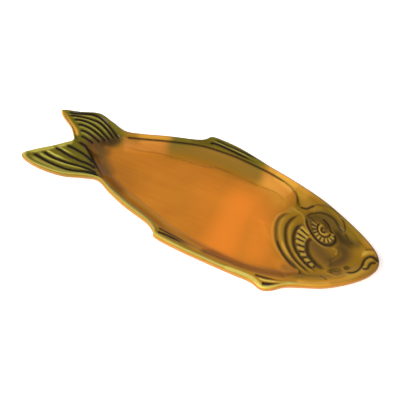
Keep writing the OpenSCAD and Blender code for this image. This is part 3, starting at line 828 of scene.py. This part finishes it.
rib_gaps = [traced(*pair) for pair in (
    ((311.2, 224), (316.6, 226.3)), ((311.6, 228.6), (316.6, 229)),
    ((313.4, 232.8), (317.6, 231.6)), ((315.8, 236.6), (319.4, 234.2)),
    ((319.4, 240), (321.6, 236.8)), ((324.2, 242.6), (324.6, 238.2)),
    ((328.9, 242.9), (327.6, 238.4)), ((332.6, 240.9), (329.9, 237.4)),
    ((334.8, 237.6), (331.6, 235.4)))]
brow = [
    traced((300.5, 206.6), (303.5, 208), (307, 208.5), (310.6, 207.2), (315.3, 205.3)),
    traced((310.2, 207.4), (315.3, 205.3), (321, 204.8), (327, 206.2), (333, 209.4),
           (338, 213.8), (341.8, 218.6), (344.6, 224), (345.2, 229.5), (344.8, 233)),
    traced((345, 233.5), (347.4, 238.2), (350.6, 242), (355, 245.3)),
]
mouth = [
    traced((345.2, 271.9), (350, 272.6), (354.4, 272), (358.4, 269.9), (361.2, 267), (362.6, 264.2),
           (364, 261), (366.2, 258.4), (369, 256.9), (372, 256.7), (374.8, 258), (377, 260.4),
           (378.6, 263.2)),
    traced((361.5, 268.4), (366.5, 268.7), (368.6, 266.6), (370.2, 264.2), (372.8, 262.8), (376, 263)),
]
nostril = traced((364.9, 250.4), (369.3, 249.3), (374.5, 251.1))
cheek_edge = traced((331.6, 247.8), (335.4, 249.4), (337.2, 252), (335, 254.8))
temple = traced((289.5, 206.6), (296, 210), (302, 214), (304.6, 219), (305.6, 224.6),
                (308.4, 231.2), (312.4, 237.2), (316.6, 241.8), (321, 245.4), (326, 247.4),
                (331.4, 247.8))
plate_edge = traced((338.5, 249.5), (338.5, 254.5), (334, 258), (330.3, 260), (332.5, 263.3),
                    (329, 267))
jaw_fold = traced((316, 262), (320, 266), (325, 270), (330, 274), (336, 276.5))
nose = traced((361.5, 257), (364.5, 253.6), (369, 252), (374, 253.4))
lip_fold = traced((365.4, 265), (367, 261.4), (370.4, 259.6), (374, 260.4))
curls = [
    traced((325.7, 271.6), (333.1, 269), (339, 268.7), (343.4, 272)),
    traced((343.4, 272.2), (338.3, 274.2), (331.6, 273.2), (325.7, 271.6)),
    traced((342.7, 268.3), (347.1, 266.4), (350.3, 267.7), (347.1, 269.3), (343, 268.7)),
    traced((319.8, 275.1), (327.2, 280.3)),
]
leaves = [traced((328.5, 271.5), (334.5, 271.2), (341, 271.7)), traced((344, 268.2), (349, 267.7))]
jaw_light = traced((344, 277.5), (356, 273.5), (366, 268), (375, 268))
cheek_bulge = traced((313, 250), (319, 255), (325, 262))
head_strokes = [
    (gills[0], 2.2, -0.9, {"umber": 0.8, "ink": 0.15}),
    (gills[0][6 * line_steps:], 1.5, -1.1, {"ink": 0.75}, (0.12, 0.35)),
    (gills[1], 2.1, -1.2, {"ink": 0.8}),
    (gill_folds[0], 1.6, 0.3, {"gold": 0.45}),
    (gill_folds[1], 2.4, 0.6, {"straw": 0.35}),
    (gill_folds[1][4 * line_steps:], 1.6, 0.6, {"gold": 0.55}),
    (gill_folds[2], 1.8, 0.5, {"straw": 0.35}),
    (gill_folds[2][5 * line_steps:], 1.4, 0.5, {"gold": 0.35}),
    (crescent[0], 2.3, -1.2, {"ink": 0.85}),
    (crescent[1], 2.8, -1.3, {"ink": 0.8}, (0.03, 0.2)),
    (socket[0], 1.6, -1.0, {"ink": 0.85}),
    (socket[0][6 * line_steps:10 * line_steps], 2.5, -1.0, {"ink": 0.8}),
    (socket[1], 1.15, -0.6, {"ink": 0.72}, (0.05, 0.1)),
    (socket[2], 1.0, -0.4, {"ink": 0.5}),
    (iris, 1.15, 0.8, {"straw": 0.85}),
    (pupil, 1.0, 0.5, {"straw": 0.15}),
    (eyelid, 1.0, -0.4, {"ink": 0.5}),
    # Painted shade under the upper lid
    (eye_shade, 2.2, -0.3, {"ink": 0.6}),
    (brow[0], 1.4, -0.9, {"ink": 0.85}),
    (brow[1], 1.0, -0.5, {"umber": 0.6, "ink": 0.2}),
    (brow[1][6 * line_steps:], 1.1, -0.5, {"ink": 0.6}),
    (brow[2], 1.5, -0.4, {"ink": 0.6}, (0.05, 0.3)),
    (nostril, 1.2, -0.5, {"ink": 0.5}),
    (cheek_edge, 1.3, 0.4, {"straw": 0.35}),
    (plate_edge, 1.4, -0.6, {"ink": 0.4}),
    (jaw_fold, 1.2, 0.3, {"straw": 0.3}),
    (nose, 2.6, 0.3, {"straw": 0.7, "gold": 0.3}, (0.3, 0.2)),
    (lip_fold, 2.0, 0.4, {"straw": 0.5}),
    (jaw_light, 5, 0, {"straw": 0.5}),
    (temple, 1.5, 0.6, {"straw": 0.28}),
    (cheek_bulge, 8.5, 0.9, {}),
]
head_strokes += [(line, 1.1, -0.8, {"ink": 0.85}) for line in raker_gaps]
head_strokes += [(line, 2.2, 0.8, {"straw": 0.9}, (0.06, 0.06)) for line in rakers]
head_strokes += [(line, 1.2, -0.7, {"ink": 0.85}) for line in eye_rings]
head_strokes += [(line, 1.1, 0.5, {"straw": 0.5}) for line in ribs[:3]]
head_strokes += [(line, 1.8, 0.6, {"straw": 0.85}, (0.06, 0.06)) for line in ribs[3:]]
head_strokes += [(line, 0.9, -0.6, {"ink": 0.7}) for line in rib_gaps]
head_strokes += [(line, 1.8, -0.9, {"ink": 0.9}, (0.1, 0.04)) for line in mouth]
head_strokes += [(line, 0.9, -0.4, {"ink": 0.5}) for line in curls[:3]]
head_strokes += [(curls[3], 1.0, -0.5, {"ink": 0.6})]
head_strokes += [(line, 2.8, -0.3, {"moss": 0.9}) for line in leaves]
strokes = groove_strokes + fin_strokes + tail_strokes + head_strokes

# Brushwork for each mark, across all coats, some of it painted shade: the pixels along a wash,
# its width and its strength
brushwork = {
    "bright": [
        (((240, 206), (231, 224), (224, 242)), 30, 0.9),
        (((252, 214), (258, 232), (255, 250)), 24, 0.65),
        (((211, 195), (209, 220)), 26, 0.3),
    ],
    "gold": [
        (((271, 172), (278, 176)), 6, 0.45),
        (((278, 176), (285, 180.5), (293, 186.5)), 7, 0.85),
        (((290, 184), (299, 191), (305, 195)), 6, 0.35),
        (((258, 178), (275, 190), (280, 200)), 12, 0.35),
        (((142, 137), (155, 138), (168, 139)), 6, 0.35),
        (((300, 282.5), (312, 284), (328, 283.5)), 4.5, 0.95),
        (((326, 283.5), (345, 280), (364, 269)), 5, 0.45),
        (((62.4, 112), (65.2, 115.5), (68.4, 120), (72.2, 125), (75.7, 130), (76.6, 134)), 2.7, 1),
        (((124, 192), (150, 212), (175, 232), (200, 248)), 5, 0.5),
    ],
    "olive": [
        (((116, 132), (126, 135.5), (136, 138)), 8, 0.55),
        (((174, 149), (200, 154.5), (225, 162.5), (256, 175.5)), 12, 0.95),
        (((300, 206), (290, 240), (312, 268)), 22, 0.75),
        (((320, 210), (345, 250), (365, 262)), 34, 0.8),
    ],
    "green": [
        (((176, 138.5), (200, 139.5), (213, 138.5), (232, 147), (262, 163)), 8, 1),
        (((176, 139), (205, 141.5), (232, 149.5), (260, 163.5)), 10, 0.95),
        (((96, 118), (106, 128), (116, 138)), 12, 0.9),
        (((330, 208), (341, 216), (349, 227), (357, 236)), 11, 0.5),
        (((96, 176), (128, 204), (160, 232), (200, 256), (245, 275)), 5, 0.6),
    ],
    "moss": [
        (((311, 217.5), (320, 217), (328, 219), (334, 225), (338, 233), (343, 243)), 8, 0.95),
        (((344, 238), (349, 245), (357, 244.5)), 7, 0.85),
    ],
    "umber": [
        # Painted shade over the well's tail end, below the tail's root
        (((96, 143), (99, 150), (100, 156)), 14, 0.95),
        (((88.5, 145), (90, 149), (94, 156)), 6, 0.95),
        (((101, 156), (103.5, 164), (107, 172)), 13, 0.8),
        (((92, 160), (97, 169), (101, 176)), 5, 0.8),
        (((284, 267.5), (292, 271), (300, 274)), 5, 0.6),
        (((324.6, 228.6), (327, 230.6)), 3.2, 0.9),
        # Painted shade at the tail's root and down the near wall below it
        (((90, 142), (100, 142), (113, 140.5)), 8, 0.95),
        (((100, 146), (110, 160), (120, 178)), 26, 0.2),
        (((107, 175), (113, 183), (120, 191)), 9, 0.6),
        # Painted shade along the near wall, which faces away from the light
        (((205, 251), (218, 256.5), (232, 262)), 6, 0.7),
        (((212, 252), (240, 265), (300, 276)), 7, 0.55),
        (((301, 227), (299.5, 236), (301, 247), (306, 257), (312, 265)), 6, 1),
        (((312, 222), (314, 231), (319, 238), (326, 242), (333, 240)), 6, 1),
        (((315, 245), (321, 254), (327, 259)), 12, 0.9),
        (((331, 265), (340, 262), (346, 256), (343, 250)), 8, 0.9),
    ],
    "ink": [
        # Painted shade at the tail's root, where its grooves end in the well
        (((102, 143), (110, 142.5), (118, 139.5)), 6, 0.65),
        (((94, 143), (100, 147), (107, 151)), 8, 0.33),
        (((110, 133), (115, 136.5), (119, 139)), 4, 0.5),
        (((194, 141.5), (203, 143), (211, 143.5)), 5, 0.3),
        # Painted shade under the brow, beside the eye
        (((338, 234), (343, 240), (349, 243)), 6, 0.52),
        (((333, 263), (341, 259), (344, 252), (339, 248)), 6, 0.3),
    ],
}
washes = {mark: [(traced(*pixels), width, strength) for pixels, width, strength in rows]
          for mark, rows in brushwork.items()}


def glazed(surface):
    """A surface after the mould's strokes, nowhere over the crest, with each mark the
    stronger of strokes and washes."""
    relief, marks = worked(surface, strokes)
    height = np.minimum(surface[..., 2] + relief, crest)
    surface = np.dstack([surface[..., :2], height])
    for mark, rows in washes.items():
        marks[mark] = np.maximum(marks.get(mark, 0), washed(surface, rows))
    return surface, marks


pigments = {
    "bright": paint(244, 138, 38),
    "olive": paint(136, 99, 10),
    "green": paint(108, 98, 16),
    "moss": paint(96, 72, 14),
    # A brown of the glaze, also used for painted shade
    "umber": paint(108, 78, 32),
    "gold": paint(236, 172, 56),
    "straw": paint(196, 158, 56),
    "outer": paint(202, 130, 34),
    # Light yellow green where the glaze breaks thin, also used for painted highlight
    "pale": paint(220, 206, 90),
    # Painted highlight: the brightest yellow, on crests that catch the light
    "lemon": paint(250, 226, 104),
    # Near black where glaze pools in grooves, also used for painted shade
    "ink": paint(30, 19, 5),
}


def fired_glaze(name, thin, thick, marks, roughness=0.16):
    """A glossy glaze: two clouded colours with fine streaks along the fish, then the marked
    pigments with edges broken by noise. The clouds also stir the surface very slightly."""
    finish = Finish(name, Roughness=roughness, IOR=1.5)
    clouds = finish.noise(size_mm=45)
    streaks = finish.noise(size_mm=4, stretch=(0.06, 1, 1))
    speck = finish.noise(size_mm=2.2, detail=4)
    colour = finish.blend(thin, thick, (clouds * 1.4 + streaks * 0.8 - 0.75).within())
    for mark in marks:
        share = (finish.mark(mark) * (speck * 0.3 + 0.85)).within()
        colour = finish.blend(colour, pigments[mark], share)
    finish.feed(finish.shader.inputs["Base Color"], colour)
    finish.bumped(clouds + speck * 0.03, 0.5)
    return finish


# The amber glaze of the well
# The honey glaze, thinnest and brightest in the middle, with brushwork along its edges, which at
# the tail end and the near wall is painted shade. The coat starts in the rim's groove, at the gill
# and at the tail, and meets at the middle line.
well_top, well_marks = glazed(well_rings(18, 26))
well_coat = coat("well_coat", well_top, well_rings(12, 6, coat_t), True, well_marks,
                 has_last_wall=False)
amber = fired_glaze("amber glaze", paint(206, 128, 34), paint(182, 108, 22),
                    ("bright", "gold", "straw", "olive", "green", "umber", "ink"))
dressed(well_coat, amber, "amber_glaze", "well_glaze")


# The green glaze of the rim
# It runs from the groove over the rounded rim and the fins to the outermost line. It breaks
# to a light yellow green on the crest, which on the belly side is also painted highlight, and lets
# the orange through on the outer face.
lip_round_count = 12
tail_green_station = 17.3
tail_root_station = 19
tail_outer_station = 21.5
pale_first_station = 4
pale_last_station = 23.6
pale_inward = 3.4
highlight_inward = 3.2
outer_drop = 0.2
outer_fade = 1.1
rim_top, rim_marks = glazed(lip_rings(lip_round_count, 24))
rim_marks["green"] = np.maximum(rim_marks["green"], smooth((station - tail_green_station) / 1.2))
belly_side = np.arange(around) > around // 2

# The orange of the outer face, weaker and browner at the snout, and weaker at the tail's root, where
# that is painted shade
lip_outer = smooth((crest - outer_drop - rim_top[..., 2]) / outer_fade)
lip_outer *= (np.arange(len(rim_top)) < lip_round_count)[:, None]
snout_shade = 1 - smooth((station - 1) / 3)
root_shade = smooth(1.5 - abs(station - tail_root_station) / 2)
rim_marks["umber"] = np.maximum(rim_marks["umber"], 0.7 * snout_shade * lip_outer)
rim_marks["outer"] = lip_outer * (1 - 0.5 * snout_shade - 0.5 * root_shade)
rim_marks["outer"] *= np.maximum(belly_side, smooth(station - tail_outer_station))

# The light band along the crest on the belly side, partly the glaze breaking there and partly
# painted highlight, with a brighter line in it
lip_inward = np.linalg.norm(rim_top[..., :2] - edge, axis=2)
outer_rings = slice(lip_round_count // 2)
lip_inward[outer_rings] = np.minimum(lip_inward[outer_rings], crown_run)
near_side = smooth((station - pale_first_station) / 2)
near_side = near_side * smooth((pale_last_station - station) / 0.8) * belly_side
pale_fade = np.where(lip_inward > pale_inward, 2.5, 1.5)
lip_pale = 0.85 * np.exp(-((lip_inward - pale_inward) / pale_fade) ** 2)
rim_marks["pale"] = np.maximum(rim_marks["pale"], lip_pale * near_side)
# A brighter line along the crest, painted highlight
lip_highlight = 0.6 * np.exp(-(lip_inward - highlight_inward) ** 2) * near_side
rim_marks["lemon"] = np.maximum(rim_marks["lemon"], lip_highlight)
rim_coat = coat("rim_coat", rim_top, lip_rings(4, 3, coat_t), True, rim_marks)
green = fired_glaze("green glaze", paint(200, 136, 34), paint(176, 120, 24),
                    ("bright", "straw", "olive", "green", "umber", "pale", "gold", "lemon",
                     "outer", "ink"),
                    roughness=0.13)
dressed(rim_coat, green, "green_glaze", "rim_glaze")


# The green glaze of the tail
# Moulded rays fan out from the root to both lobes. The green is thin on the ridges and runs
# together, nearly black, in the grooves between them. The light lines along the ridges are
# partly that thin glaze and partly painted highlight.
tail_top, tail_marks = glazed(tail_rings(100))
tail_marks["green"] = np.ones(tail_top.shape[:2])
tail_coat = coat("tail_coat", tail_top, tail_rings(20, coat_t), False, tail_marks)
tail_green = fired_glaze("tail green glaze", paint(188, 132, 34), paint(160, 112, 24),
                         ("green", "pale", "umber", "gold", "ink"), roughness=0.14)
dressed(tail_coat, tail_green, "tail_green_glaze", "tail_glaze")


# The olive brown glaze of the head
# The mould gave the head its gill folds, a crescent of gill rakers, an eye in a ring of ribs,
# a cheek plate, curls and a mouth. The glaze is golden on the folds and black between them.
head_top, head_marks = glazed(head_rings(170))
head_coat = coat("head_coat", head_top, head_rings(48, coat_t), False, head_marks)
olive = fired_glaze("olive brown glaze", paint(192, 137, 32), paint(166, 117, 22),
                    ("bright", "olive", "green", "moss", "umber", "gold", "straw", "ink"),
                    roughness=0.14)
dressed(head_coat, olive, "olive_brown_glaze", "head_glaze")


# The brown amber glaze underneath
# The same amber, laid on thickly outside the foot and in the recess within it. It has no
# brushwork, so its two browns only cloud and streak.
under_parts = [(under_lip_rings, (10, 8), True), (under_tail_rings, (12,), False),
               (under_bowl_rings, (10,), True)]
under_outer = [(rings(*counts), wraps) for rings, counts, wraps in under_parts]
under_inner = [(rings(*[max(count // 3, 3) for count in counts], coat_t), wraps)
               for rings, counts, wraps in under_parts]

# Walls close the coat along the outermost line and beside the foot
under_walls = [(np.stack([under_outer[k][0][end], under_inner[k][0][end]]), True)
               for k, end in ((0, 0), (2, -1))]
under_coat = merged("underside_coat", under_outer + under_inner + under_walls, {})
recess_rings = flat_rings(foot_inner_line, spine, 12, foot_top - glaze_t)
recess_coat = coat("recess_coat", recess_rings, recess_rings[::4] + [0, 0, glaze_t], True, {},
                   has_last_wall=False)
under_amber = fired_glaze("underside glaze", paint(206, 140, 56), paint(150, 92, 36), [])
dressed(under_coat, under_amber, "underside_amber_glaze", "underside_glaze")
dressed(recess_coat, under_amber, "underside_amber_glaze", "recess_glaze")


# The floor and the lights
# White paper lies under the platter. A silk overhead gives the soft light, and a low strip in
# front and a panel behind draw the highlights.
floor_mesh = bpy.data.meshes.new("floor")
floor_half = 3.0
floor_mesh.from_pydata([(-floor_half, -floor_half, 0), (floor_half, -floor_half, 0),
                        (floor_half, floor_half, 0), (-floor_half, floor_half, 0)],
                       [], [(0, 1, 2, 3)])
floor = bpy.data.objects.new("floor", floor_mesh)
bpy.context.scene.collection.objects.link(floor)
paper = Finish("white paper", Roughness=0.9, Base_Color=(0.93, 0.93, 0.93, 1.0),
               Emission_Color=(1.0, 1.0, 1.0, 1.0), Emission_Strength=0.6)
floor_mesh.materials.append(paper.material)

world = bpy.data.worlds.new("studio")
world.use_nodes = True
world.node_tree.nodes["Background"].inputs["Color"].default_value = (1.0, 1.0, 1.0, 1.0)
world.node_tree.nodes["Background"].inputs["Strength"].default_value = 0.18
bpy.context.scene.world = world


def soft_box(name, place, aim, width, height, power, seen_in_gloss=True, lights_matt=True):
    """An area light that faces a point."""
    data = bpy.data.lights.new(name, "AREA")
    data.shape = "RECTANGLE"
    data.size = width
    data.size_y = height
    data.energy = power
    light = bpy.data.objects.new(name, data)
    light.location = place
    light.rotation_euler = (Vector(aim) - Vector(place)).to_track_quat("-Z", "Y").to_euler()
    light.visible_glossy = seen_in_gloss
    light.visible_diffuse = lights_matt
    bpy.context.scene.collection.objects.link(light)


soft_box("silk overhead", (-0.7, -1.4, 1.9), (0, 0, 0), width=2.8, height=1.8, power=78,
         seen_in_gloss=False)
soft_box("low strip in front", (-1.2, -1.9, 0.8), (0, 0, 0), width=3.6, height=0.3, power=11,
         lights_matt=False)
soft_box("white panel behind", (-0.2, 2.0, 0.5), (0, 0, 0.1), width=3.0, height=0.9, power=2.2)
bpy.context.scene.view_settings.view_transform = "Standard"
